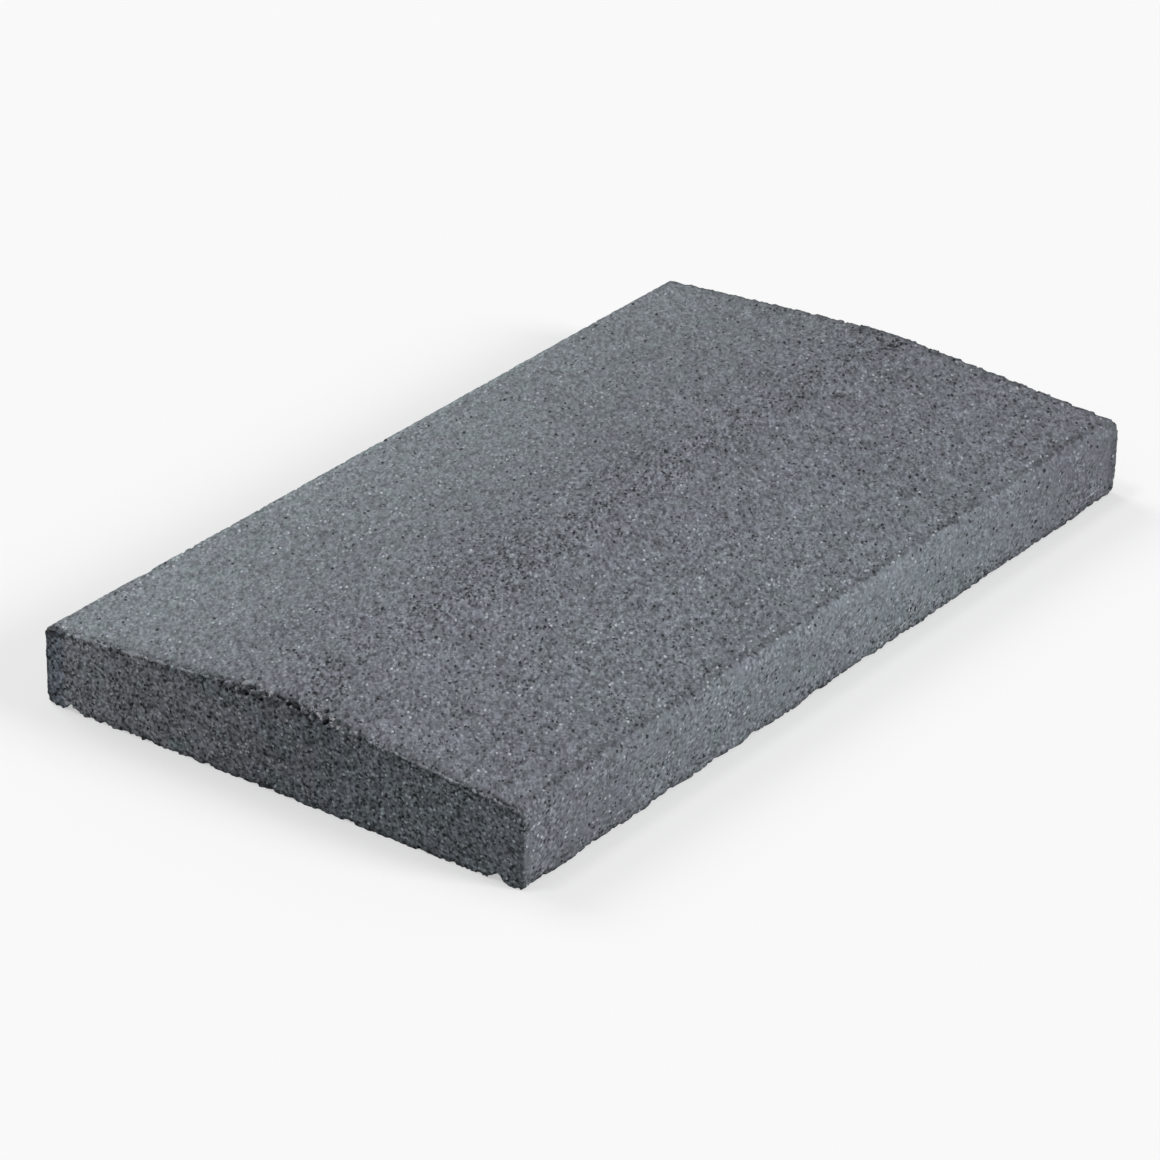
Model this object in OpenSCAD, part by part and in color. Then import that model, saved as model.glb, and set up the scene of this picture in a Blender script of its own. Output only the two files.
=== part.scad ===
// Wall coping stone, cast in one piece of concrete.
// The top falls both ways from a ridge along the middle. The long edges are rounded, the ends are
// cut square to butt against the next stone, and a drip groove runs under each long edge.
// Millimetres. Length along X, width along Y, +Z up, origin in the middle of the bed.

/* [Overall size] */
// Length along the wall
stone_length = 500; // [200:10:1000]
// Width across the wall, over both overhangs
stone_width = 280; // [200:5:500]

/* [Top] */
// Height of the long sides, up to where the slope would meet them in a sharp corner
side_height = 40; // [25:1:100]
// Rise of the ridge above the long sides
ridge_rise = 10; // [2:1:30]
// Radius of the soft line along the ridge
ridge_radius = 120; // [10:5:160]
// Radius of the rounded edge between each slope and its long side
top_edge_radius = 5; // [1:0.5:12]

/* [Underside] */
// Radius of the rounded edge between each long side and the bed
bed_edge_radius = 4; // [1:0.5:6]
// Width of the nib that is left between each drip groove and its long side
nib_width = 10; // [6:1:40]
// Width of each drip groove at its mouth
groove_width = 12; // [6:1:20]
// Depth of each drip groove, up to where its two flanks would meet
groove_depth = 4; // [2:0.5:10]
// Width of the steep flank of each groove, the one beside the nib
steep_flank_width = 4; // [1:0.5:5]
// Radius at the root of each groove
groove_root_radius = 1.5; // [0.5:0.25:2]

/* [Hidden] */
$fn = 96;

half_width = stone_width / 2;
ridge_height = side_height + ridge_rise;

// Angle of each slope: a line from the long side's corner that just touches the ridge's arc.
corner_below_ridge_top = ridge_radius - ridge_rise;
slope_angle = atan2(half_width, corner_below_ridge_top)
    - acos(ridge_radius / norm([half_width, corner_below_ridge_top]));

// Centre of the ridge's arc, whose top is the ridge.
ridge_centre_z = ridge_height - ridge_radius;

// Centre of the rounded top edge, which touches both the slope and the long side.
top_edge_y = half_width - top_edge_radius;
top_edge_z = side_height + top_edge_radius * (tan(slope_angle) - 1 / cos(slope_angle));

// Centre of the rounded bed edge.
bed_edge_y = half_width - bed_edge_radius;

// The groove's mouth and the point where its flanks would meet, out from the middle.
groove_outer_y = half_width - nib_width;
groove_inner_y = groove_outer_y - groove_width;
groove_point_y = groove_outer_y - steep_flank_width;
steep_flank_angle = atan2(groove_depth, steep_flank_width);
gentle_flank_angle = atan2(groove_depth, groove_width - steep_flank_width);

// The root's arc touches both flanks, so its centre is on the line that halves their angle.
root_half_angle = (180 - steep_flank_angle - gentle_flank_angle) / 2;
root_lean = 90 - gentle_flank_angle - root_half_angle;
root_centre = [groove_point_y, groove_depth]
    - groove_root_radius / sin(root_half_angle) * [sin(root_lean), cos(root_lean)];

// A slanted run ends this far inside its arc, so that the two cross and leave no sliver.
weld = 0.002;
// How far the cutting shape of a groove reaches out below the bed.
overcut = 1;

// A point on an arc, or just inside it, at an angle from straight up towards +Y.
function on_arc(centre, radius, angle) = centre + radius * [sin(angle), cos(angle)];

// The same point on the other side of the ridge.
function mirrored(p) = [-p[0], p[1]];

// The right half's corners, from the bed up to the ridge, where straight runs end.
right_corners = [
    [bed_edge_y, 0],
    [half_width, bed_edge_radius],
    [half_width, top_edge_z],
    on_arc([top_edge_y, top_edge_z], top_edge_radius - weld, slope_angle),
    on_arc([0, ridge_centre_z], ridge_radius - weld, slope_angle),
];

// The part of the ridge's circle that is used: it ends inside the stone, clear of the long sides.
ridge_strip_half = (ridge_radius * sin(slope_angle) + half_width) / 2;
ridge_strip_z = side_height / 2;

// The stone's section with its four rounded edges and its soft ridge, before the grooves.
module solid_section() {
    last = len(right_corners) - 1;
    polygon([
        for (p = right_corners) p,
        for (i = [last:-1:0]) mirrored(right_corners[i]),
    ]);
    for (side = [-1, 1]) {
        translate([side * top_edge_y, top_edge_z]) circle(r = top_edge_radius);
        translate([side * bed_edge_y, bed_edge_radius]) circle(r = bed_edge_radius);
    }
    intersection() {
        translate([0, ridge_centre_z]) circle(r = ridge_radius, $fn = 720);
        translate([-ridge_strip_half, ridge_strip_z])
            square([2 * ridge_strip_half, ridge_height - ridge_strip_z]);
    }
}

// What is taken out for the drip groove on the +Y side: two flanks and a rounded root.
module groove_section() {
    polygon([
        [groove_inner_y, -overcut],
        [groove_outer_y, -overcut],
        [groove_outer_y, 0],
        on_arc(root_centre, groove_root_radius - weld, steep_flank_angle),
        on_arc(root_centre, groove_root_radius - weld, -gentle_flank_angle),
        [groove_inner_y, 0],
    ]);
    translate(root_centre) circle(r = groove_root_radius);
}

module coping_stone() {
    color([0.42, 0.44, 0.46])
    translate([-stone_length / 2, 0, 0])
    rotate([90, 0, 90])
    linear_extrude(height = stone_length)
    difference() {
        solid_section();
        groove_section();
        mirror([1, 0]) groove_section();
    }
}

coping_stone();
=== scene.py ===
# %% [markdown]
# # A wall coping stone in dark pressed concrete
# A coping lies on top of a garden wall and keeps the rain out of it. This one is pressed in a mould from
# stiff, fine-grained, black-pigmented concrete. Its top falls both ways from a soft ridge, its long edges
# are rounded and a groove under each of them makes the water drip off before it reaches the wall.
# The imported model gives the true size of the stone. This lesson builds the same stone again with
# its pores, crumbs, chips and colours, and then sets it on a pale studio floor.

# %% Load the fixed frame
import math
from collections import namedtuple

import bmesh
import bpy
import numpy as np
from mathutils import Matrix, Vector


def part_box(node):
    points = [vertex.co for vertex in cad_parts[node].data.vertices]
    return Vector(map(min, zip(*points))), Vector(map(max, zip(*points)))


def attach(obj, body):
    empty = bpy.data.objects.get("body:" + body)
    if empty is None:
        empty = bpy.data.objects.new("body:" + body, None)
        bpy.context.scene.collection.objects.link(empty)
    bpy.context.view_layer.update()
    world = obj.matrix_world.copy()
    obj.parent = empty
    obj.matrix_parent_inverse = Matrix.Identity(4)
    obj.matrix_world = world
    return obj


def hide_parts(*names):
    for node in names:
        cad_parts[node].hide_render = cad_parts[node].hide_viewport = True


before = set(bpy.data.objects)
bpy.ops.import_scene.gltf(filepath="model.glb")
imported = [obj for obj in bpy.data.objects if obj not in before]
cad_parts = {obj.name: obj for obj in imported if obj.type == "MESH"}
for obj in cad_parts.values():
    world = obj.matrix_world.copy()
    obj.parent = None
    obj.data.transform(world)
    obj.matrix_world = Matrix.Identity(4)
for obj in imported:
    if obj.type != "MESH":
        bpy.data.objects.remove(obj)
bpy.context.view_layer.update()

MM = 0.001
box_low, box_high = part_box("coping_stone")
length, width, height = box_high - box_low
half_length, half_width = length / 2, width / 2
print(f"stone: {length / MM:.0f} x {width / MM:.0f} x {height / MM:.1f} mm")

# %% [markdown]
# ## The plain block
# The easiest start is a cube at the stone's length and width, as high as its long sides. Everything
# after that is done to its faces and edges in edit mode, as a modeller would with the mouse.
# Three small helpers stand in for the mouse: one clears every selection, because an operator acts on
# all that is selected, one selects the parts of the mesh that pass a test on their place, and the
# last is such a test, for the edges that run along the stone.

# %% Helpers for selecting
def select_nothing():
    if bpy.context.mode != "OBJECT":
        bpy.ops.object.mode_set(mode="OBJECT")
    bpy.ops.object.select_all(action="DESELECT")


def pick(kind, test):
    """Selects the verts, edges or faces of the mesh in edit mode that pass the test."""
    bpy.context.tool_settings.mesh_select_mode = [kind == k for k in ("verts", "edges", "faces")]
    bpy.ops.mesh.select_all(action="DESELECT")
    mesh = bmesh.from_edit_mesh(bpy.context.object.data)
    chosen = [part for part in getattr(mesh, kind) if test(part)]
    for part in chosen:
        part.select_set(True)
    bmesh.update_edit_mesh(bpy.context.object.data)
    return len(chosen)


def lengthways(y, z):
    """A test for the edges that run along the stone at this place across it and this height."""
    def test(edge):
        return all(abs(v.co.y - y) < 0.01 * MM and abs(v.co.z - z) < 0.01 * MM for v in edge.verts)
    return test


# %% Add the block
SIDE_HEIGHT = 40 * MM

select_nothing()
bpy.ops.mesh.primitive_cube_add(
    size=1,
    location=(0, 0, SIDE_HEIGHT / 2),
    scale=(length, width, SIDE_HEIGHT),
)
stone = bpy.context.object
stone.name = stone.data.name = "cast_coping"
bpy.ops.object.transform_apply(location=True, rotation=True, scale=True)
bpy.ops.object.mode_set(mode="EDIT")

# %% [markdown]
# ## The ridge
# The top of a real coping is struck to a shallow roof. A bisect down the middle gives the line of the
# ridge, and lifting that line makes the two slopes. A bevel then softens it to the radius of the real
# ridge. A bevel takes material off the peak, so the line is first lifted to where the two slopes
# would meet in a sharp peak. That is a line from the side's corner that just touches the ridge's arc.

# %% Raise and soften the ridge
RIDGE_RADIUS = 120 * MM
RIDGE_HEIGHT = 50 * MM

arc_drop = RIDGE_RADIUS - (RIDGE_HEIGHT - SIDE_HEIGHT)
slope = math.atan2(half_width, arc_drop) - math.acos(RIDGE_RADIUS / math.hypot(half_width, arc_drop))
peak_height = SIDE_HEIGHT + half_width * math.tan(slope)

bpy.ops.mesh.select_all(action="SELECT")
bpy.ops.mesh.bisect(plane_co=(0, 0, 0), plane_no=(0, 1, 0))
pick("edges", lengthways(0, SIDE_HEIGHT))
bpy.ops.transform.translate(value=(0, 0, peak_height - SIDE_HEIGHT))
pick("edges", lengthways(0, peak_height))
bpy.ops.mesh.bevel(offset=RIDGE_RADIUS * math.tan(slope), segments=6, affect="EDGES")
print(f"slopes fall at {math.degrees(slope):.1f} degrees")

# %% [markdown]
# ## The rounded long edges
# The mould rounds the long edges, because a sharp edge of concrete breaks off. They don't all come out
# of it alike: on the -Y side the top edge is the rounder one, on the +Y side the bottom edge. A bevel
# makes each arc. Its offset is how far the arc reaches along each face, which for an arc of radius r
# between two faces is r times the tangent of half the angle it turns through.

# %% Round the long edges
TOP_EDGE_RADII = {-1: 5 * MM, 1: 1.5 * MM}
BED_EDGE_RADII = {-1: 0.8 * MM, 1: 4.5 * MM}

for side in (-1, 1):
    top_edges = pick("edges", lengthways(side * half_width, SIDE_HEIGHT))
    reach = TOP_EDGE_RADII[side] * math.tan((math.pi / 2 - slope) / 2)
    bpy.ops.mesh.bevel(offset=reach, segments=5, affect="EDGES")
    bed_edges = pick("edges", lengthways(side * half_width, 0))
    bpy.ops.mesh.bevel(offset=BED_EDGE_RADII[side], segments=4, affect="EDGES")
    print(f"rounded {top_edges} top and {bed_edges} bottom edge on side {side:+d}")

# %% [markdown]
# ## The drip grooves
# Water that creeps round the bottom edge can't cross a groove, so it drips off there. Each groove is a
# shallow, lopsided V. Only the underside is cut here: three bisects a side mark the mouth and the
# root, the root's line is pushed up into the stone, and bevels take the sharpness off root and lips.

# %% Cut the drip grooves
NIB_WIDTH = 10 * MM
GROOVE_WIDTH = 12 * MM
STEEP_FLANK_WIDTH = 4 * MM
GROOVE_DEPTH = 4 * MM
ROOT_BEVEL = 1.1 * MM
LIP_BEVEL = 0.8 * MM

outer_lip = half_width - NIB_WIDTH
inner_lip = outer_lip - GROOVE_WIDTH
groove_root = outer_lip - STEEP_FLANK_WIDTH
for line in (inner_lip, groove_root, outer_lip):
    for side in (-1, 1):
        pick("faces", lambda face: face.normal.z < -0.99)
        bpy.ops.mesh.bisect(plane_co=(0, side * line, 0), plane_no=(0, 1, 0))
for side in (-1, 1):
    pick("edges", lengthways(side * groove_root, 0))
    bpy.ops.transform.translate(value=(0, 0, GROOVE_DEPTH))
    pick("edges", lengthways(side * groove_root, GROOVE_DEPTH))
    bpy.ops.mesh.bevel(offset=ROOT_BEVEL, segments=3, affect="EDGES")
    for lip in (inner_lip, outer_lip):
        pick("edges", lengthways(side * lip, 0))
        bpy.ops.mesh.bevel(offset=LIP_BEVEL, segments=2, affect="EDGES")
print(f"the grooves run {inner_lip / MM:.0f} to {outer_lip / MM:.0f} mm from the middle")

# %% [markdown]
# ## Knocked corners
# Corners get knocked off when stones are stacked. Each knock is one bisect that throws away what is
# outside a slanting plane and fills the cut. Two flatter cuts on one corner make a rounder break.
# Here the +X end has lost its bottom corner on the -Y side and a little of its top one on the +Y side.

# %% Knock the corners
def knock(corner, *cuts):
    """Cuts a corner off. Each cut gives how far it reaches along X, Y and Z."""
    for reach in cuts:
        into = Vector([-math.copysign(r, c) for r, c in zip(reach, corner)])
        into.z = reach[2] if corner[2] < SIDE_HEIGHT / 2 else -reach[2]
        outwards = Vector([-1 / i for i in into]).normalized()
        bpy.ops.mesh.select_all(action="SELECT")
        bpy.ops.mesh.bisect(
            plane_co=Vector(corner) + Vector((into.x, 0, 0)),
            plane_no=outwards,
            clear_outer=True,
            use_fill=True,
        )


knock((half_length, -half_width, 0), (5 * MM, 5 * MM, 4 * MM), (2 * MM, 3 * MM, 8 * MM))
knock((half_length, half_width, SIDE_HEIGHT), (1.5 * MM, 3 * MM, 3 * MM))
bpy.ops.object.mode_set(mode="OBJECT")
print("the bare shape has", len(stone.data.polygons), "faces")

# %% [markdown]
# ## An even skin
# The bare shape has a few long faces, and relief needs many small ones. A voxel remesh lays an
# even net of little squares over the whole stone and turns the sawn-sharp ends slightly soft, as
# pressed concrete is. Most of this net is thinned again at the end, when the relief says where
# faces are needed.

# %% Cover the stone with small faces
SKIN = 1.0 * MM


def finish_with(kind, **settings):
    """Adds a modifier to the stone and applies it."""
    modifier = stone.modifiers.new(kind.title(), kind)
    for name, value in settings.items():
        setattr(modifier, name, value)
    bpy.ops.object.modifier_apply(modifier=modifier.name)


select_nothing()
stone.select_set(True)
bpy.context.view_layer.objects.active = stone
finish_with("REMESH", mode="VOXEL", voxel_size=SKIN)
print("the skin has", len(stone.data.polygons), "faces")

# %% [markdown]
# ## Finer faces where the stone has crumbled
# Crumbs and cracks of a millimetre or two need faces half that size. So the faces along the top edges
# of both ends, and those of the crumbled places at either end of the ridge, are subdivided. With so
# many faces it is quicker to test their centres all at once, with arrays.

# %% Test many places at once
def numbers(data, name, size=1):
    """One array row for each vertex or face, with this property of it."""
    values = np.empty(len(data) * size, dtype=np.float32)
    data.foreach_get(name, values)
    return values.reshape(-1, size)


def top_at(y):
    """The height of the plain top at this distance from the ridge."""
    return np.minimum(peak_height - np.abs(y) * math.tan(slope), RIDGE_HEIGHT)


def open_with_faces(test):
    """Enters edit mode with only those faces selected whose centres pass the test."""
    chosen = test(*numbers(stone.data.polygons, "center", 3).T)
    stone.data.vertices.foreach_set("select", np.zeros(len(stone.data.vertices), dtype=bool))
    stone.data.edges.foreach_set("select", np.zeros(len(stone.data.edges), dtype=bool))
    stone.data.polygons.foreach_set("select", chosen)
    bpy.context.tool_settings.mesh_select_mode = (False, False, True)
    bpy.ops.object.mode_set(mode="EDIT")
    print(chosen.sum(), "faces selected")


# %% Subdivide along the ends
def worn_spot(x, y, z):
    """Round the cracked place at the +X end and the hole near the -X end."""
    cracked = (x > 220 * MM) & (np.abs(y + 3 * MM) < 18 * MM)
    holed = np.hypot(x + 239.8 * MM, y - 18.7 * MM) < 4 * MM
    return (cracked | holed) & (z > 40 * MM)


def worn_strip(x, y, z):
    """A narrow strip along both top end edges, wider in the middle, and the worn spots."""
    reach = np.where(np.abs(y) < 48 * MM, 8 * MM, 3 * MM)
    near_arris = (half_length - np.abs(x) < reach) & (z > top_at(y) - 5 * MM)
    return near_arris | worn_spot(x, y, z)


open_with_faces(worn_strip)
bpy.ops.mesh.subdivide(number_cuts=1)
bpy.ops.object.mode_set(mode="OBJECT")

# %% [markdown]
# ## Where the stone is worn
# Displace modifiers can be held back by a vertex group. The groups are worked out from where each
# point is: how near it is to an end, how far below the top, how near a crumb that has come loose.
# Filling an attribute with numbers and turning it into a vertex group is far quicker than adding
# points one by one.

# %% Measure from the ends and the top
skin = numbers(stone.data.vertices, "co", 3)
x, y, z = skin.T
from_end = np.maximum(half_length - np.abs(x), 0)
from_side = half_width - np.abs(y)
from_front_side = half_width + y
below_top = np.maximum(top_at(y) - z, 0)
from_arris = np.hypot(from_end, below_top)
near_end = x < 0


def fade(value, none, full):
    """0 where value is at none, 1 where it is at full, and smooth between."""
    t = np.clip((value - none) / (full - none), 0, 1)
    return t * t * (3 - 2 * t)


def spots(*places):
    """1 round each place, given as X, Y, Z and radius in millimetres, and 0 further off."""
    weights = np.zeros(len(skin))
    for *centre, radius in places:
        away = np.linalg.norm(skin - np.array(centre) * MM, axis=1)
        weights = np.maximum(weights, fade(away, radius * MM, radius * MM * 0.35))
    return weights


def vertex_group(name, weights):
    attribute = stone.data.attributes.new(name, "FLOAT", "POINT")
    attribute.data.foreach_set("value", weights.astype(np.float32))
    stone.data.attributes.active = attribute
    bpy.ops.geometry.attribute_convert(mode="VERTEX_GROUP")
    print(f"{name}: {(weights > 0.05).sum()} points")


# %% Name the worn places
middle_of_edge = fade(np.abs(y), 46 * MM, 34 * MM) * near_end
on_top = fade(below_top, 1.2 * MM, 0.5 * MM)
quiet = np.where(near_end, 1, 0.28)
off_the_sides = 0.2 + 0.8 * fade(from_side, 2 * MM, 9 * MM)
in_from_corner = fade(from_side, 3 * MM, 8 * MM)
from_bed = np.minimum(np.hypot(from_end, z), np.hypot(from_front_side, z))
vertex_group("ends", fade(from_end, 1.8 * MM, 0.6 * MM) * quiet * off_the_sides)
vertex_group("arrises", fade(from_arris, 2.2 * MM, 0.5 * MM) * quiet)
vertex_group("corner", fade(np.hypot(from_end, from_front_side), 2.2 * MM, 0.5 * MM) * quiet)
fin_edge = fade(from_arris, 1.2 * MM, 0.4 * MM) * (1 - middle_of_edge)
vertex_group("fin", fin_edge * near_end * in_from_corner)
vertex_group("behind_fin", fade(np.abs(from_end - 2.4 * MM), 1.8 * MM, 0.8 * MM) * on_top * near_end)
vertex_group("crumbled", middle_of_edge * fade(from_arris, 5.5 * MM, 1.5 * MM))
vertex_group("bed_arrises", fade(from_bed, 2.6 * MM, 0.6 * MM))
vertex_group("burr", fade(z, 4 * MM, 1 * MM) * fade(from_front_side, 6 * MM, 1 * MM))
vertex_group("tops", fade(below_top, 8 * MM, 4 * MM) * (0.45 + 0.55 * fade(y, 70 * MM, 30 * MM)))

# %% Crumbs that have come out, and some that are still in
holes = spots(
    (-239.5, 19.6, 48.9, 1.8),
    (238.8, -2.2, 50.0, 2.2),
    (237.6, -11.0, 49.5, 2.7),
    (241.4, -12.2, 49.4, 1.9),
    (231.8, -10.2, 49.5, 1.3),
)
gaps = spots(
    (-247.6, 16.8, 48.8, 2.2),
    (-250.0, 19.5, 47.4, 1.8),
    (-248.5, 8.1, 49.7, 1.5),
    (-250.0, 11.0, 46.6, 1.6),
    (-249.6, -5.3, 50.0, 2.4),
    (-244.1, -2.7, 50.0, 1.1),
    (-249.8, -11.0, 49.5, 1.8),
    (-250.0, -27.4, 48.0, 2.2),
    (-242.8, -22.9, 48.7, 1.1),
    (-250.0, -47.2, 45.9, 1.6),
)
crumbs = spots(
    (-245.5, 22.6, 48.6, 3.2),
    (-244.5, 14.3, 49.3, 1.2),
    (-246.8, 6.6, 49.8, 1.6),
    (-248.4, -22.3, 48.6, 2.4),
    (-247.0, -29.4, 48.1, 1.7),
    (-250.0, -31.5, 46.5, 1.2),
    (-241.4, -19.0, 48.9, 1.1),
    (-248.7, -44.4, 47.1, 1.4),
)
vertex_group("holes", holes)
vertex_group("gaps", gaps)
vertex_group("crumbs", crumbs)

# %% [markdown]
# ## Relief
# Blender's own cloud texture drives each layer of relief, with a colour ramp where only its deepest
# spots count. Long waves keep the faces from being dead flat. Grains of sand roughen them all over,
# more so on the ends. Open pores are the deepest spots of a fine cloud. The bottom edges are nibbled,
# and the one on the -Y side wavers. The mould left a thin fin along the top edge of the -X end, with
# small holes behind it, and in the middle that edge crumbled.

# %% Helpers for relief
def clouds(name, size, depth=0, span=None, basis="BLENDER_ORIGINAL"):
    """A cloud texture. The span is the two values between which it goes from full to none."""
    texture = bpy.data.textures.new(name, "CLOUDS")
    texture.noise_scale = size
    texture.noise_depth = depth
    texture.noise_basis = basis
    if span:
        texture.use_color_ramp = True
        full, none = texture.color_ramp.elements
        full.position, none.position = span
        full.color, none.color = (1, 1, 1, 1), (0, 0, 0, 1)
    return texture


def relief(texture, strength, middle=0.0, group="", direction="NORMAL"):
    """Moves the skin by the strength where the texture is full. Without one, all of the group moves."""
    finish_with(
        "DISPLACE",
        texture=texture,
        texture_coords="LOCAL",
        strength=strength,
        mid_level=middle,
        vertex_group=group,
        direction=direction,
    )


# %% Waves, sand and pores
relief(clouds("waves", 90 * MM), 0.4 * MM, middle=0.5)
relief(clouds("uneven", 12 * MM, depth=1), 0.25 * MM, middle=0.5)
relief(clouds("sand", 2.4 * MM, depth=1), 0.6 * MM, middle=0.5)
relief(clouds("rough_ends", 2.8 * MM, basis="VORONOI_F1"), -1.3 * MM, middle=0.5, group="ends")
relief(clouds("burr", 18 * MM, depth=2), -2.8 * MM, middle=0.5, group="burr", direction="Y")
relief(clouds("bed_nibbles", 4 * MM, depth=1, span=(0.30, 0.56)), -1.0 * MM, group="bed_arrises")
relief(clouds("pores", 3.0 * MM, span=(0.20, 0.28)), -1.3 * MM, group="tops")

# %% The worn ends of the stone
before = numbers(stone.data.vertices, "co", 3)
relief(clouds("nibbles", 3 * MM, depth=1, span=(0.34, 0.52)), -0.8 * MM, group="arrises")
relief(clouds("corner_nibbles", 3 * MM, depth=1, span=(0.34, 0.52)), -0.5 * MM, group="corner")
relief(clouds("fin", 7 * MM, depth=1, span=(0.50, 0.38)), 0.45 * MM, group="fin")
relief(clouds("fin_holes", 2.2 * MM, span=(0.30, 0.44)), -0.9 * MM, group="behind_fin")
crumbly = clouds("crumbled", 3.4 * MM, span=(0.60, 0.34), basis="VORONOI_F1")
relief(crumbly, -1.7 * MM, group="crumbled", direction="Z")
relief(crumbly, 1.7 * MM, group="crumbled", direction="X")
relief(None, -2.6 * MM, group="holes", direction="Z")
relief(None, -3.0 * MM, group="gaps", direction="Z")
relief(None, 2.6 * MM, group="gaps", direction="X")
relief(None, 0.8 * MM, group="crumbs", direction="Z")
relief(None, -0.6 * MM, group="crumbs", direction="X")

# %% [markdown]
# ### What the colours need to know
# Later the deep gaps get painted shade and the loose crumbs are made pale. So the stone remembers in an
# attribute how far each point has sunk: 1 where it went deep, and less than 0 where a crumb stands out.

# %% Remember how deep each place has crumbled
DEEP = 4.5 * MM

moved = numbers(stone.data.vertices, "co", 3) - before
inwards = moved[:, 0] * np.where(near_end, 1, -1) - moved[:, 2]
sunk = np.clip(np.maximum(inwards / DEEP, holes), 0, 1)
broken = stone.data.attributes.new("broken", "FLOAT", "POINT")
broken.data.foreach_set("value", (sunk * (1 - crumbs) - crumbs).astype(np.float32))
print("points that sank by half or more:", (sunk > 0.5).sum())

# %% [markdown]
# ## Thin the skin
# The decimate modifier removes the edges that matter least, so flat stretches end up with large
# triangles and pores and crumbs keep small ones. The underside, which nobody sees, goes first.

# %% Thin the skin
MOST_TRIANGLES = 196_000


def triangles():
    return sum(len(face.vertices) - 2 for face in stone.data.polygons)


def thin(test, ratio):
    open_with_faces(test)
    bpy.ops.mesh.decimate(ratio=ratio)
    bpy.ops.object.mode_set(mode="OBJECT")
    print("there are now", triangles(), "triangles")


def underside(x, y, z):
    return (z < 5 * MM) & (np.abs(y) < 137 * MM) & (np.abs(x) < 247 * MM)


def away_from_ends(x, y, z):
    return (half_length - np.abs(x) > 9 * MM) & ~worn_spot(x, y, z)


thin(underside, 0.06)
thin(away_from_ends, 0.42)
finish_with("DECIMATE", ratio=MOST_TRIANGLES / triangles())

# %% [markdown]
# ### A closed surface
# Here and there the thinning leaves a point that only two faces share. When those faces are split into
# triangles, such a point can become a flap with nothing inside, so it is dissolved.

# %% Dissolve the points between only two faces
bpy.ops.object.mode_set(mode="EDIT")
print("dissolving", pick("verts", lambda vert: len(vert.link_faces) < 3), "points")
bpy.ops.mesh.dissolve_verts()
bpy.ops.object.mode_set(mode="OBJECT")
bpy.ops.object.shade_smooth()
print("the finished stone has", triangles(), "triangles")

# %% [markdown]
# ## The concrete
# Close up, dark concrete is not one grey. Blue-grey cement paste holds grains of sand, some paler and
# some darker, with a few bright flecks of quartz and many open pores that look nearly black. The
# colour drifts over the stone. Everything is worked out from Object coordinates, scaled to
# millimetres, so that the pattern goes through the stone like the real mix.

# %% A short way to add shader nodes
def start_tree(owner):
    """Empties the shader tree of a material or a world. node() then adds to this one."""
    global tree
    owner.use_nodes = True
    tree = owner.node_tree
    tree.nodes.clear()


def node(kind, inputs=None, **settings):
    """Adds a shader node with these settings, and sets or links its inputs."""
    made = tree.nodes.new("ShaderNode" + kind)
    for name, value in settings.items():
        setattr(made, name, value)
    for name, value in (inputs or {}).items():
        if isinstance(value, bpy.types.NodeSocket):
            tree.links.new(value, made.inputs[name])
        else:
            made.inputs[name].default_value = value
    return made


concrete = bpy.data.materials.new("anthracite_concrete")
start_tree(concrete)

# %% Sums with numbers
def maths(operation, a, b=0.0):
    return node("Math", {0: a, 1: b}, operation=operation).outputs[0]


def product(first, *others):
    for other in others:
        first = maths("MULTIPLY", first, other)
    return first


def largest(first, *others):
    for other in others:
        first = maths("MAXIMUM", first, other)
    return first


def one_minus(value):
    return maths("SUBTRACT", 1.0, value)


def ramp(value, start, end, low=0.0, high=1.0):
    """Goes smoothly from low to high as value goes from start to end, and stays there."""
    inputs = {"Value": value, "From Min": start, "From Max": end, "To Min": low, "To Max": high}
    return node("MapRange", inputs, interpolation_type="SMOOTHSTEP").outputs[0]


def ramp_straight(value, start, end, low=0.0, high=1.0):
    """Goes evenly from low to high as value goes from start to end, and stays there."""
    inputs = {"Value": value, "From Min": start, "From Max": end, "To Min": low, "To Max": high}
    return node("MapRange", inputs).outputs[0]


def mix_value(share, a, b):
    """A number share of the way from a to b."""
    return node("Mix", {0: share, 2: a, 3: b}).outputs[0]


# %% Sums with colours
def mix(share, a, b):
    """A colour share of the way from a to b."""
    return node("Mix", {0: share, 6: a, 7: b}, data_type="RGBA").outputs[2]


def times(colour, factor):
    """A colour made lighter or darker."""
    return node("VectorMath", {0: colour, "Scale": factor}, operation="SCALE").outputs[0]


def tinted(colour, tint):
    """A colour multiplied by another one."""
    return node("VectorMath", {0: colour, 1: tint}, operation="MULTIPLY").outputs[0]


# %% Places on the stone, in millimetres
end_x, side_y, peak_z = half_length / MM, half_width / MM, peak_height / MM

object_place = node("TexCoord").outputs["Object"]
place = node("VectorMath", {0: object_place, "Scale": 1 / MM}, operation="SCALE").outputs[0]
along_x, across_y, up_z = node("SeparateXYZ", {0: place}).outputs
away_from_ridge = maths("ABSOLUTE", across_y)
towards_end = maths("ABSOLUTE", along_x)
on_end = ramp(towards_end, end_x - 1.6, end_x - 0.5)
on_side = ramp(away_from_ridge, side_y - 5.2, side_y - 3.2)
top_z = maths("SUBTRACT", peak_z, product(away_from_ridge, math.tan(slope)))
depth_below_top = maths("SUBTRACT", top_z, up_z)

# %% [markdown]
# ### Smooth and open places
# How much paste came to the surface decides how a place looks. The +Y slope got the most and is smooth
# and a little lighter. Along the ridge the grains stand bare and the pores are open, and on the -Y
# slope it is something in between. The long sides are smooth too, except along their bottom edge and
# near the -X end. One number, the openness, says this for every place. Contrast and pores follow it.

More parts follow.
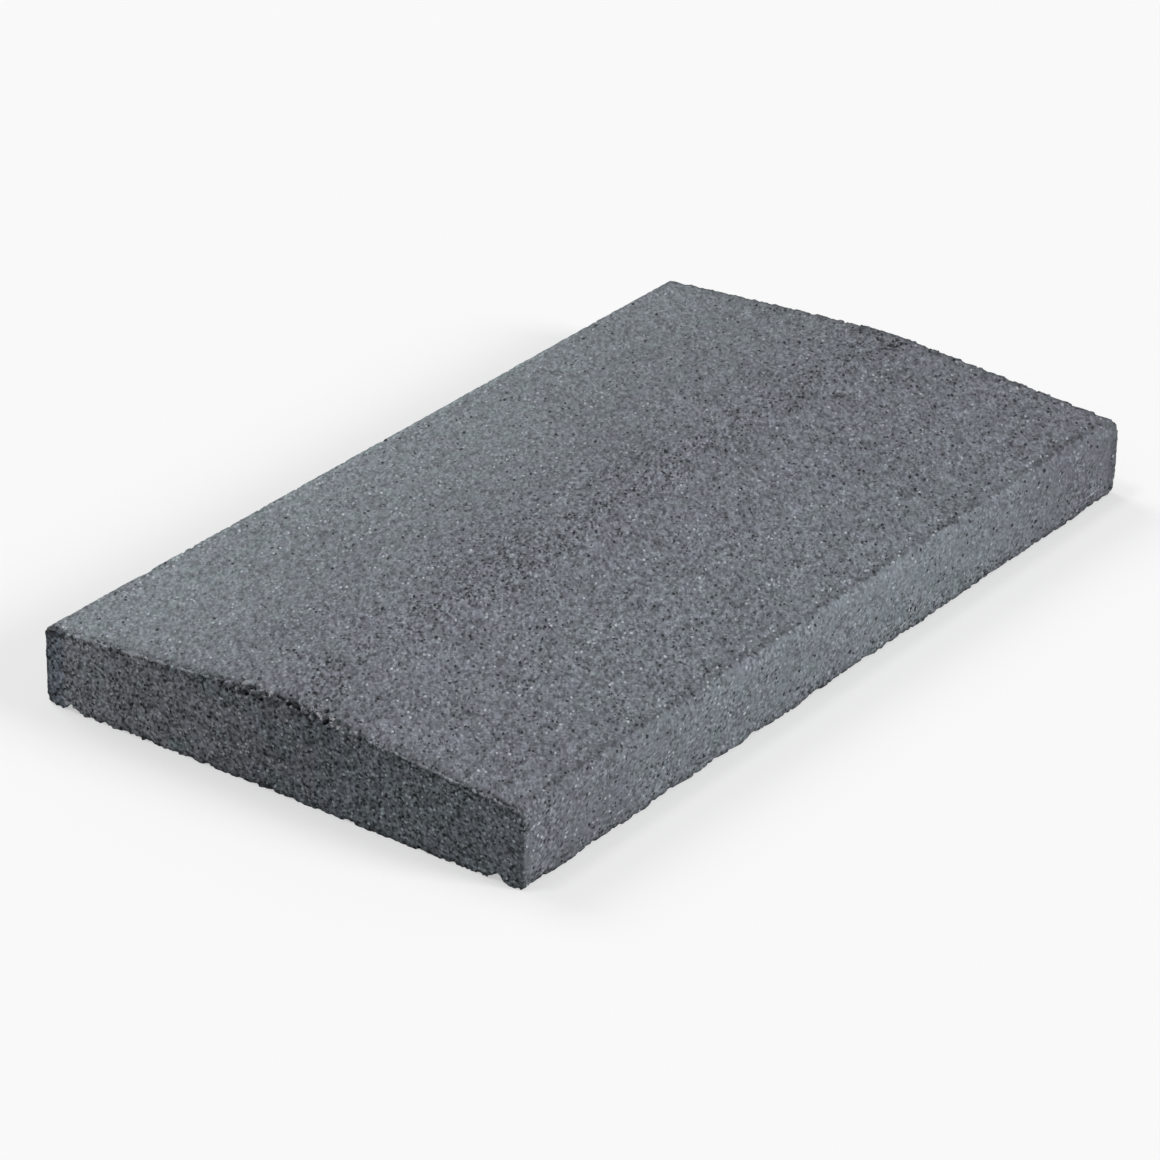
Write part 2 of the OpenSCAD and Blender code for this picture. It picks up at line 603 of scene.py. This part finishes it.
# %% Openness
def noise(size, detail=2.0, vector=None):
    """A cloudy pattern between 0 and 1, whose clouds are about this many millimetres wide."""
    inputs = {"Vector": vector or place, "Scale": 1 / size, "Detail": detail}
    return node("TexNoise", inputs).outputs["Fac"]


ridge_wander = ramp_straight(noise(45.0, detail=2.5), 0.25, 0.75, -14.0, 20.0)
on_ridge = ramp(maths("ABSOLUTE", maths("ADD", across_y, ridge_wander)), 24.0, 4.0)
on_slopes = largest(ramp(across_y, 90.0, -10.0, 0.0, 0.40), on_ridge)
on_slopes = product(on_slopes, ramp(along_x, -250.0, 250.0, 1.25, 0.8))
on_sides = largest(ramp(up_z, 14.0, 3.0, 0.1, 0.8), ramp(along_x, -170.0, -240.0, 0.1, 0.4))
openness = mix_value(on_side, on_slopes, on_sides)
openness = mix_value(on_end, openness, 0.9)

# %% [markdown]
# ### The paste
# The paste between the grains is blue-grey. It is lightest on the smooth slope, most of all at its -X
# corner, fades a little towards both ends, and broad noise lays a faint cloudiness over it. The two
# drifts below are for the two slopes, the third is for the long sides, which are lightest in the
# middle and darker along their bottom edge, with a painted highlight in a band just under the rounded
# top edge. In that middle the paste is a touch greener too, and small patches everywhere lean faintly
# to violet or to olive.

# %% Paste
SMOOTH_PASTE = (0.2025, 0.224, 0.2445, 1)
OPEN_PASTE = (0.181, 0.1935, 0.2185, 1)

smooth_drift = ramp(along_x, 250.0, -240.0, 0.93, 1.03)
near_fade = ramp(along_x, -250.0, -180.0, 0.95, 1.0)
far_fade = ramp(along_x, 20.0, 250.0, 1.0, 0.91)
open_drift = maths("MINIMUM", near_fade, far_fade)
slope_drift = product(
    mix_value(ramp(across_y, 100.0, 0.0), smooth_drift, open_drift),
    ramp(across_y, 80.0, 130.0, 0.94, 1.03),
    one_minus(product(on_ridge, 0.05)),
)
side_drift_and_highlight = product(
    ramp(towards_end, 250.0, 60.0, 0.88, 1.10),
    ramp(up_z, 9.0, 2.0, 1.0, 0.82),
    # painted highlight in a band just under the rounded top edge of the long sides
    ramp(up_z, 30.0, 36.5, 0.985, 1.045),
)
clouding = ramp(noise(60.0), 0.3, 0.7, 0.96, 1.04)
blotches = ramp(noise(9.0, detail=2.5), 0.3, 0.7, 0.96, 1.04)
tone = product(clouding, blotches, mix_value(on_side, slope_drift, side_drift_and_highlight))
paste = times(mix(ramp(across_y, 110.0, -20.0), SMOOTH_PASTE, OPEN_PASTE), tone)

# %% Tinges in the paste
NO_TINGE = (1, 1, 1, 1)
GREENER = (0.983, 1.019, 0.997, 1)
VIOLET_TINGE = (1.013, 0.987, 1.008, 1)
OLIVE_TINGE = (0.987, 1.013, 0.992, 1)

green_share = mix_value(on_side, ramp(across_y, -10.0, -110.0, 0.0, 0.6), 1.0)
green_share = product(green_share, ramp(towards_end, 220.0, 110.0))
paste = tinted(paste, mix(green_share, NO_TINGE, GREENER))
patches = ramp(noise(11.0, detail=2.5), 0.3, 0.7)
paste = tinted(paste, mix(patches, VIOLET_TINGE, OLIVE_TINGE))

# %% [markdown]
# ### Painted shade along the edges
# Every edge shows, mostly as painted shade. A few millimetres in from the -X end, behind the fin, a band
# of painted shade stands for a shallow trough. The far end and the +Y edge get painted shade over their
# last few millimetres, and a faint line of painted shade follows the rounded -Y edge. The long sides
# darken at both ends and the ends at both sides, as painted shade where the faces turn from the light,
# and a broken dark line runs round the foot of the stone. Each band is a share of darkening that fades
# with distance, and where bands meet the darkest one counts.

# %% Painted shade along the edges
from_near_end = maths("ADD", along_x, end_x)
from_far_end = maths("SUBTRACT", end_x, along_x)
# painted shade: a band behind the fin, the last millimetres of both ends of the top and of the +Y edge,
# and a line along the rounded -Y edge
top_edge_shade = largest(
    ramp(maths("ABSOLUTE", maths("SUBTRACT", from_near_end, 3.6)), 2.6, 0.3, 0.0, 0.16),
    ramp(from_near_end, 9.0, 4.0, 0.0, 0.08),
    ramp(from_far_end, 10.0, 2.0, 0.0, 0.16),
    ramp(from_far_end, 3.6, 1.4, 0.0, 0.5),
    ramp(across_y, side_y - 5.0, side_y - 1.5, 0.0, 0.20),
    ramp(maths("ABSOLUTE", maths("ADD", across_y, 133.2)), 3.4, 0.6, 0.0, 0.20),
)
# painted shade where the long sides meet the ends, and where the ends meet the long sides
side_edge_shade = largest(ramp(from_near_end, 5.0, 1.0, 0.0, 0.12), ramp(from_far_end, 11.0, 2.0, 0.0, 0.28))
end_edge_shade = ramp(away_from_ridge, 132.0, 134.5, 0.0, 0.14)
dark_foot = product(ramp(up_z, 3.2, 1.0), ramp(noise(5.0, detail=2.5), 0.38, 0.58, 0.1, 0.5))
painted_edge_shade = mix_value(on_end, mix_value(on_side, top_edge_shade, side_edge_shade), end_edge_shade)
paste = times(paste, one_minus(largest(painted_edge_shade, dark_foot)))

# %% [markdown]
# ### Grains, flecks and pores
# A Voronoi texture cuts space into cells, and each cell is one grain of sand with its own lightness.
# Two nets of about the same size lie over each other: in one the grains melt into the paste, in the
# other they keep a border. A larger net says where the pores and the bright flecks of quartz are: its
# cells each draw a chance, and those with the lowest become round pores, painted near black as the
# shade inside them, and those with the highest become pale flecks. More of them become pores where the
# surface is open. A last, wide net adds a bigger pore here and there, painted dark the same way. Real
# grains stand up from the face and look round even from a low angle, where a flat pattern looks
# squashed. So all of it is stretched in the direction that one mostly looks along.

# %% Where the grains are
grain_place = node(
    "Mapping",
    {"Vector": place, "Rotation": (0, 0, math.radians(36)), "Scale": (1.7, 1, 1.05)},
    vector_type="TEXTURE",
).outputs[0]


def jittered(vector, reach):
    """A place moved about by up to this many millimetres, so that borders get ragged."""
    moved_place = {0: jitter, 1: (reach, reach, reach), 2: vector}
    return node("VectorMath", moved_place, operation="MULTIPLY_ADD").outputs[0]


jitter = node("TexNoise", {"Vector": grain_place, "Scale": 1.4, "Detail": 0.0}).outputs["Color"]
grain_place = jittered(grain_place, 0.7)
Cells = namedtuple("Cells", "away first second third")


def cells(size, vector=None, **settings):
    """The distance from the middle of each cell, and three chances that are its own."""
    voronoi = node("TexVoronoi", {"Vector": vector or grain_place, "Scale": 1 / size}, **settings)
    chances = node("SeparateXYZ", {0: voronoi.outputs["Color"]})
    return Cells(voronoi.outputs["Distance"], *chances.outputs)


# %% Grains
calm = product(ramp(along_x, -20.0, 60.0), ramp(up_z, 10.0, 20.0))
side_contrast = ramp(noise(28.0, detail=1.5), 0.35, 0.6, 0.75, 1.3)
side_contrast = product(side_contrast, one_minus(product(calm, 0.2)))
contrast = maths("ADD", product(openness, 0.55), product(on_end, 0.45))
contrast = maths("ADD", contrast, 0.90)
contrast = product(contrast, mix_value(on_side, 1.0, side_contrast))

soft_grains = cells(1.18, feature="SMOOTH_F1")
crisp_grains = cells(1.38)
lightness = soft_grains.first
soft_light = ramp_straight(lightness, 0, 1, -0.42, 0.44)
crisp_light = ramp_straight(crisp_grains.first, 0, 1, -0.38, 0.48)
crisp_light = product(crisp_light, ramp(crisp_grains.away, 0.62, 0.35))
clump = noise(2.4, detail=1.0, vector=grain_place)
light = maths("ADD", soft_light, crisp_light)
light = maths("ADD", light, ramp_straight(clump, 0.2, 0.8, -0.08, 0.08))
light = maths("ADD", product(light, contrast), 1.0)
grained = times(paste, largest(light, 0.1))

# %% Pores
# painted shade: the near black that the pores are coloured, for the shade inside them
PORE_SHADE = (0.018, 0.019, 0.022, 1)

pore_net = cells(1.95)
crowding = ramp(noise(13.0, detail=1.5), 0.38, 0.64, 0.35, 2.0)
pore_share = product(maths("ADD", product(openness, 0.16), 0.03), crowding)
is_pore = maths("LESS_THAN", pore_net.first, mix_value(on_end, pore_share, 0.06))
pore_radius = ramp_straight(pore_net.second, 0, 1, 0.26, 0.46)
pore_radius = product(pore_radius, ramp(along_x, -50.0, 200.0, 1.0, 1.25))
small_pore = product(is_pore, ramp(maths("DIVIDE", pore_net.away, pore_radius), 1.0, 0.6))
wide_net = cells(6.5)
big_radius = ramp_straight(wide_net.second, 0, 1, 0.06, 0.17)
big_pore = ramp(maths("DIVIDE", wide_net.away, big_radius), 1.0, 0.6)
pore = largest(small_pore, big_pore)

# %% Flecks
FLECK = (0.56, 0.60, 0.65, 1)

fleck_chance = maths("ADD", pore_net.third, product(on_end, 0.08))
is_fleck = ramp_straight(fleck_chance, 0.82, 1.0, 0.0, 0.88)
is_fleck = product(is_fleck, ramp(along_x, -100.0, 200.0, 1.0, 0.75))
flecked = mix(product(is_fleck, ramp(pore_net.away, 0.42, 0.22)), grained, FLECK)
# the pores are painted near black, as shade
pores_shaded = mix(product(pore, 0.92), flecked, PORE_SHADE)

# %% [markdown]
# ### The two ends
# The ends were pushed against the mould's end plates with less paste, so every grain shows. They are
# patchy, a shade brownish here and a shade greenish there, and bluer in a strip along the +Y side.
# They are a little lighter towards the bottom, and darker just below the top edge.

# %% Ends
END_BROWN = (0.96, 0.93, 0.94, 1)
END_GREEN = (0.865, 0.915, 0.905, 1)
END_BLUE = (0.78, 0.81, 0.87, 1)

patchy = maths("ADD", across_y, ramp_straight(noise(24.0, detail=2.5), 0.3, 0.7, -70.0, 70.0))
end_tint = mix(ramp(patchy, 0.0, 45.0), END_GREEN, END_BROWN)
end_tint = mix(ramp(across_y, 128.0, 131.0), end_tint, END_BLUE)
lighter_below = ramp(depth_below_top, 20.0, 44.0, 1.0, 1.12)
darker_above = ramp(depth_below_top, 1.0, 4.0, 0.9, 1.0)
end_colour = times(tinted(pores_shaded, end_tint), product(lighter_below, darker_above))
faced = mix(on_end, pores_shaded, end_colour)

# %% [markdown]
# ### The worn edge
# Along the top edge of the -X end the fin shows as a thin pale line with breaks in it. The line is a
# painted highlight where the raised fin catches the light. Small holes follow behind it, painted dark as
# shade.
# In the middle, loose crumbs lie in the broken edge. They are cells of their own: a few are pale
# stones, and the gaps between them are painted black as shade.

# %% Fin
FIN_HIGHLIGHT = (0.36, 0.375, 0.40, 1)

from_arris_mm = largest(from_near_end, depth_below_top)
crumbling = ramp(maths("ABSOLUTE", maths("ADD", across_y, 4.0)), 48.0, 36.0)
whole = one_minus(crumbling)
fin_breaks = product(ramp(noise(6.0, detail=2.5), 0.46, 0.54), whole)
fin = product(ramp(from_arris_mm, 1.3, 0.6), fin_breaks)
# the fin is real relief, and its pale line is a painted highlight
finned = mix(product(fin, 0.55), faced, FIN_HIGHLIGHT)
# painted shade in the small holes behind the fin
shade_in_holes_behind = ramp(maths("ABSOLUTE", maths("SUBTRACT", from_arris_mm, 2.4)), 1.6, 0.6)
shade_in_holes_behind = product(shade_in_holes_behind, ramp(noise(1.7, detail=1.0), 0.52, 0.62, 0.0, 0.6))
finned = times(finned, one_minus(product(shade_in_holes_behind, whole)))

# %% Crumbs and the gaps between them
CRUMB_PALE = (0.48, 0.47, 0.49, 1)
GAP_SHADE = (0.016, 0.016, 0.018, 1)
JITTER = 1.6

rough_place = jittered(place, JITTER)
crumb_net = cells(2.4, vector=rough_place)
crumb_zone = product(ramp(from_arris_mm, 5.0, 2.5), crumbling)
crumb_gap_shade = product(ramp(crumb_net.away, 0.55, 0.75), ramp(noise(6.0), 0.46, 0.62, 0.0, 0.9))
pale_crumb = product(ramp(crumb_net.first, 0.70, 0.78), ramp(crumb_net.away, 0.55, 0.30))
worn_and_shaded = mix(product(pale_crumb, crumb_zone), finned, CRUMB_PALE)
# painted shade in the gaps between the crumbs
worn_and_shaded = mix(product(crumb_gap_shade, crumb_zone), worn_and_shaded, GAP_SHADE)

# %% [markdown]
# ### Painted shade in the relief
# Where the edge has sunk deep, little light gets in, so the gap is painted dark as shade. Where a crumb
# stands out, it is made pale. The attribute that the stone remembered says which is which.

# %% Pale crumbs and painted shade in the deep gaps of the relief
RAISED_PALE = (0.40, 0.40, 0.42, 1)
DEEP_GAP_SHADE = (0.014, 0.014, 0.015, 1)

broken_depth = node("Attribute", attribute_name="broken").outputs["Fac"]
worn_and_shaded = mix(ramp(broken_depth, -0.2, -0.7, 0.0, 0.7), worn_and_shaded, RAISED_PALE)
# painted shade: the deepest gaps of the broken edge are coloured near black
worn_and_shaded = mix(ramp(broken_depth, 0.55, 1.05, 0.0, 0.9), worn_and_shaded, DEEP_GAP_SHADE)

# %% [markdown]
# ### Single marks
# A few marks are the stone's own and are put in one by one: the crack near the +X end of the ridge,
# a few pits, painted dark as the shade inside them, and a dark patch on the corner. Each is a line
# between two points, given in millimetres, that fades with the distance from it. A round pit is a line
# of no length.

# %% Marks
def mark(start, end, radius, strength):
    """A dark line from start to end. The place is jittered, so its border is ragged."""
    usual_jitter = Vector((0.5, 0.5, 0.5)) * JITTER
    start, end = Vector(start) + usual_jitter, Vector(end) + usual_jitter
    along = (end - start) / max((end - start).length_squared, 0.01)
    offset = node("VectorMath", {0: rough_place, 1: start}, operation="SUBTRACT").outputs[0]
    share = node("VectorMath", {0: offset, 1: along}, operation="DOT_PRODUCT").outputs["Value"]
    share = node("Clamp", {"Value": share}).outputs[0]
    nearest = node("VectorMath", {0: end - start, "Scale": share}, operation="SCALE").outputs[0]
    away = node("VectorMath", {0: offset, 1: nearest}, operation="DISTANCE").outputs["Value"]
    return ramp(away, radius, radius * 0.55, 0.0, strength)


MARK_BLACK = (0.016, 0.017, 0.019, 1)

crack = largest(
    mark((237.2, -10.0, 49.6), (237.9, -12.2, 49.4), 2.4, 0.95),
    mark((237.9, -12.2, 49.4), (243.4, -12.3, 49.4), 1.5, 0.9),
    mark((239.6, -0.4, 50.0), (238.0, -4.2, 50.0), 1.6, 0.9),
    mark((229.9, -8.0, 49.8), (233.5, -12.4, 49.4), 1.2, 0.75),
    mark((242.4, 14.1, 49.3), (246.4, 13.9, 49.3), 2.6, 0.4),
)
# painted shade in the pits
pits = largest(
    mark((-239.5, 19.6, 48.9), (-239.5, 19.6, 48.9), 1.9, 0.95),
    mark((-240.4, -40.2, 47.4), (-240.4, -40.2, 47.4), 1.5, 0.9),
    mark((-225.8, 0.4, 50.0), (-219.2, -1.9, 50.0), 0.9, 0.6),
)
dark_corner = largest(
    mark((-250.0, 139.6, 39.0), (-250.0, 131.0, 39.6), 3.2, 0.55),
    mark((-250.0, 140.0, 40.0), (-250.0, 140.0, 5.0), 1.8, 0.5),
)
colour = mix(largest(crack, pits, dark_corner), worn_and_shaded, MARK_BLACK)

# %% [markdown]
# ### Relief too fine for the mesh
# The grains themselves are smaller than the mesh's faces, so a bump lifts them and sinks the pores.
# The stone is matt all over. Only the lightest grains are a little smoother than the rest.

# %% Fine relief, and the finished surface
grain_height = product(lightness, 0.25)
surface_height = maths("ADD", grain_height, product(clump, 0.6))
surface_height = maths("SUBTRACT", surface_height, product(pore, 0.7))
bump = node("Bump", {"Strength": 0.8, "Distance": MM, "Height": surface_height}).outputs[0]
roughness = ramp_straight(lightness, 0, 1, 0.95, 0.82)
surface = node(
    "BsdfPrincipled",
    {"Base Color": colour, "Roughness": roughness, "Specular IOR Level": 0.3, "Normal": bump},
)
node("OutputMaterial", {"Surface": surface.outputs[0]})
stone.data.materials.clear()
stone.data.materials.append(concrete)
print("the concrete takes", len(tree.nodes), "nodes")

# %% Tie the stone to the frame
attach(stone, "root")
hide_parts("coping_stone")

# %% [markdown]
# ## The studio
# A large pale floor, an even sky and three soft lamps. The key lamp is in front of the long side, so
# that side and top are about equally bright. The -X end lies in its own shade, and only a weak
# raking lamp picks out its grains. Floor and sky are near white to the camera, but throw less light
# at the stone than such a room would, so that the shaded end stays dark. A glow of the floor that
# only the camera sees keeps the stone's shadow soft and light.

# %% Floor
FLOOR_LIGHT = (0.55, 0.55, 0.55, 1)
FLOOR_SEEN = (0.99, 0.99, 0.99, 1)
FLOOR_GLOW = 0.95
GLOW_SHARE = 0.5

select_nothing()
bpy.ops.mesh.primitive_plane_add(size=12)
floor = bpy.context.object
floor.name = "floor"
pale = bpy.data.materials.new("pale_floor")
start_tree(pale)
seen = node("LightPath").outputs["Is Camera Ray"]
matt = node("BsdfDiffuse", {"Color": mix(seen, FLOOR_LIGHT, FLOOR_SEEN)})
glow = node("Emission", {"Strength": FLOOR_GLOW})
both = {0: product(seen, GLOW_SHARE), 1: matt.outputs[0], 2: glow.outputs[0]}
node("OutputMaterial", {"Surface": node("MixShader", both).outputs[0]})
floor.data.materials.append(pale)

# %% Sky
SKY_LIGHT = 0.34
SKY_SEEN = 0.95

world = bpy.data.worlds.new("studio")
bpy.context.scene.world = world
start_tree(world)
seen = node("LightPath").outputs["Is Camera Ray"]
sky = node("Background", {"Color": (1, 1, 1, 1), "Strength": mix_value(seen, SKY_LIGHT, SKY_SEEN)})
node("OutputWorld", {"Surface": sky.outputs[0]})

# %% Lamps
def lamp(name, towards, strength, softness):
    """A sun shining from a direction. softness is the angle that it takes up in the sky."""
    bpy.ops.object.light_add(type="SUN", rotation=Vector(towards).to_track_quat("Z", "Y").to_euler())
    made = bpy.context.object
    made.name = name
    made.data.energy = strength
    made.data.angle = math.radians(softness)


lamp("back", (0.15, 1.0, 0.9), 1.0, 30)
lamp("key", (0.30, -1.0, 0.50), 1.9, 20)
lamp("raking", (-0.30, 0.25, 0.92), 0.5, 12)

# %% [markdown]
# ## The camera
# A long lens from some way off, looking down on the -X end and the -Y side. It stands on a ball round
# the point that it aims at, so two angles and a distance say where it is. A third angle rolls it.

# %% Camera
AZIMUTH = math.radians(-53.975)
ELEVATION = math.radians(27.721)
ROLL = math.radians(1.021)
DISTANCE = 2.565
AIM = Vector((-10.56, 6.21, 9.5)) * MM
LENS = 162.90

back = Vector((
    math.sin(AZIMUTH) * math.cos(ELEVATION),
    -math.cos(AZIMUTH) * math.cos(ELEVATION),
    math.sin(ELEVATION),
))
bpy.ops.object.camera_add(location=AIM + back * DISTANCE)
camera = bpy.context.object
camera.rotation_euler = back.to_track_quat("Z", "Y").to_euler()
camera.rotation_euler.rotate_axis("Z", ROLL)
camera.data.lens = LENS
camera.data.sensor_width = 36
bpy.context.scene.camera = camera
bpy.context.scene.view_settings.view_transform = "Standard"
print("the camera stands at", [round(v, 3) for v in camera.location], "m")
